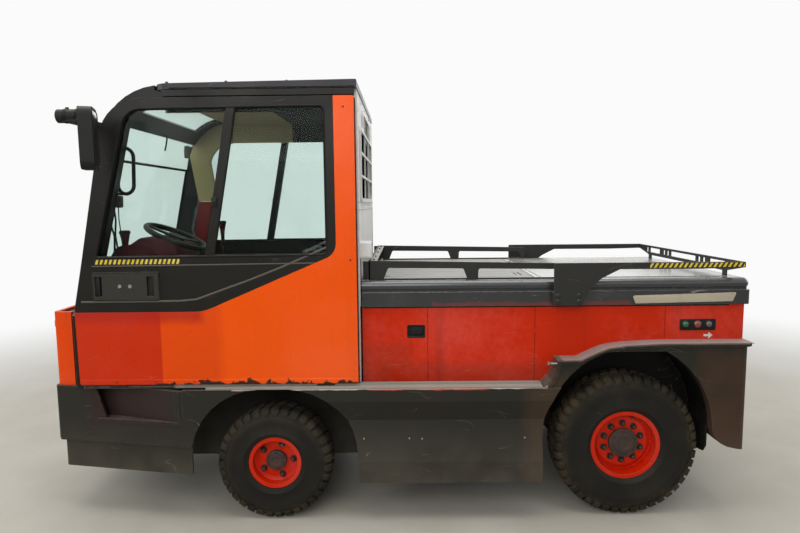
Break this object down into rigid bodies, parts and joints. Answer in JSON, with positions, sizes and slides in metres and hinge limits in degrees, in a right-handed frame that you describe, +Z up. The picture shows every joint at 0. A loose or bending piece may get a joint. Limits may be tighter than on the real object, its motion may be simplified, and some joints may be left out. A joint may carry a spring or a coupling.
{
  "type": "airport baggage tug",
  "caption": "Battery-electric baggage tug with a closed two-seat cab, sliding side doors, railed load deck over the battery bay and a stepped rear tow coupling.",
  "frame": {"origin": "on the ground below the centre of the bounding box", "axes": "+X travel direction (front bumper), +Y left side, +Z up"},
  "size_m": [3.35, 1.7742, 2.0249],
  "materials": {
    "frame_black": "satin, dusty",
    "battery": "matte",
    "bumper_grey": "matte dark grey, scuffed",
    "cast_steel": "rough",
    "bright_steel": "worn bright",
    "cab_black": "semi-gloss black",
    "roof_grey": "satin",
    "glass": "clear, faint green",
    "wall_grey": "satin",
    "guard_white": "satin",
    "floor_steel": "worn to bare metal on the ledges",
    "dash_red": "matte, dark red",
    "wheel_black": "soft",
    "seat_black": "coarse cloth",
    "nose_orange": "gloss, faded",
    "door_orange": "gloss, patched and chipped at the lower edge",
    "mirror_black": "grained",
    "body_red": "gloss, faded",
    "deck_grey": "satin, dusty deck",
    "lid_grey": "worn, dusty",
    "rail_grey": "matte",
    "tyre": "dusty tread",
    "rim_red": "gloss, scuffed"
  },
  "bodies": {
    "tug": {"chassis_frame": "frame_black", "front_frame": "frame_black", "front_tow_pocket": "cast_steel", "battery_block": "battery", "front_bumper": "bumper_grey", "front_axle": "frame_black", "rear_axle": "frame_black", "skirt_left": "bumper_grey", "skirt_right": "bumper_grey", "rear_fender_left": "bumper_grey", "rear_fender_right": "bumper_grey", "rear_bumper": "bumper_grey", "tow_coupling": "cast_steel", "cab_frame": "cab_black", "cab_roof": "roof_grey", "roof_window": "glass", "windshield": "glass", "cab_rear_wall": "wall_grey", "rear_window": "glass", "window_guard": "guard_white", "cab_floor": "floor_steel", "dashboard": "dash_red", "steering_wheel": "wheel_black", "driver_seat": "seat_black", "passenger_seat": "seat_black", "nose_panel": "nose_orange", "mirror_left": "mirror_black", "mirror_right": "mirror_black", "rear_body": "body_red", "deck_edge": "deck_grey", "front_rail": "rail_grey", "rear_rail": "rail_grey"},
    "door_left": {"door_panel_left": "door_orange", "door_frame_left": "cab_black", "door_glass_left": "glass"},
    "door_right": {"door_panel_right": "door_orange", "door_frame_right": "cab_black", "door_glass_right": "glass"},
    "lid": {"battery_lid": "lid_grey"},
    "coupling_pin": {"tow_pin": "bright_steel"},
    "knuckle_left": {"knuckle_left": "frame_black"},
    "knuckle_right": {"knuckle_right": "frame_black"},
    "wheel_front_left": {"tyre_front_left": "tyre", "rim_front_left": "rim_red"},
    "wheel_front_right": {"tyre_front_right": "tyre", "rim_front_right": "rim_red"},
    "wheel_rear_left": {"tyre_rear_left": "tyre", "rim_rear_left": "rim_red"},
    "wheel_rear_right": {"tyre_rear_right": "tyre", "rim_rear_right": "rim_red"}
  },
  "joints": [
    {"name": "steer_left", "type": "hinge", "parent": "tug", "child": "knuckle_left", "pos_m": [0.604, 0.42, 0.27], "axis": [0, 0, 1], "range_deg": [-30, 30]},
    {"name": "steer_right", "type": "hinge", "parent": "tug", "child": "knuckle_right", "pos_m": [0.604, -0.42, 0.27], "axis": [0, 0, 1], "range_deg": [-30, 30]},
    {"name": "front_left_wheel_spin", "type": "hinge", "parent": "knuckle_left", "child": "wheel_front_left", "pos_m": [0.604, 0.5445, 0.27], "axis": [0, 1, 0], "continuous": true},
    {"name": "front_right_wheel_spin", "type": "hinge", "parent": "knuckle_right", "child": "wheel_front_right", "pos_m": [0.604, -0.5445, 0.27], "axis": [0, 1, 0], "continuous": true},
    {"name": "rear_left_wheel_spin", "type": "hinge", "parent": "tug", "child": "wheel_rear_left", "pos_m": [-1.046, 0.51, 0.3375], "axis": [0, 1, 0], "continuous": true},
    {"name": "rear_right_wheel_spin", "type": "hinge", "parent": "tug", "child": "wheel_rear_right", "pos_m": [-1.046, -0.51, 0.3375], "axis": [0, 1, 0], "continuous": true},
    {"name": "left_door_slide", "type": "slide", "parent": "tug", "child": "door_left", "axis": [-1, 0, 0], "range_m": [0, 0.84]},
    {"name": "right_door_slide", "type": "slide", "parent": "tug", "child": "door_right", "axis": [-1, 0, 0], "range_m": [0, 0.84]},
    {"name": "battery_lid_hinge", "type": "hinge", "parent": "tug", "child": "lid", "pos_m": [0.128, 0, 1.131], "axis": [0, 1, 0], "range_deg": [0, 75]},
    {"name": "tow_pin_lift", "type": "slide", "parent": "tug", "child": "coupling_pin", "axis": [0, 0, 1], "range_m": [0, 0.12]}
  ],
  "couplings": [
    {"joint": "steer_right", "follows": "steer_left", "ratio": 1}
  ]
}
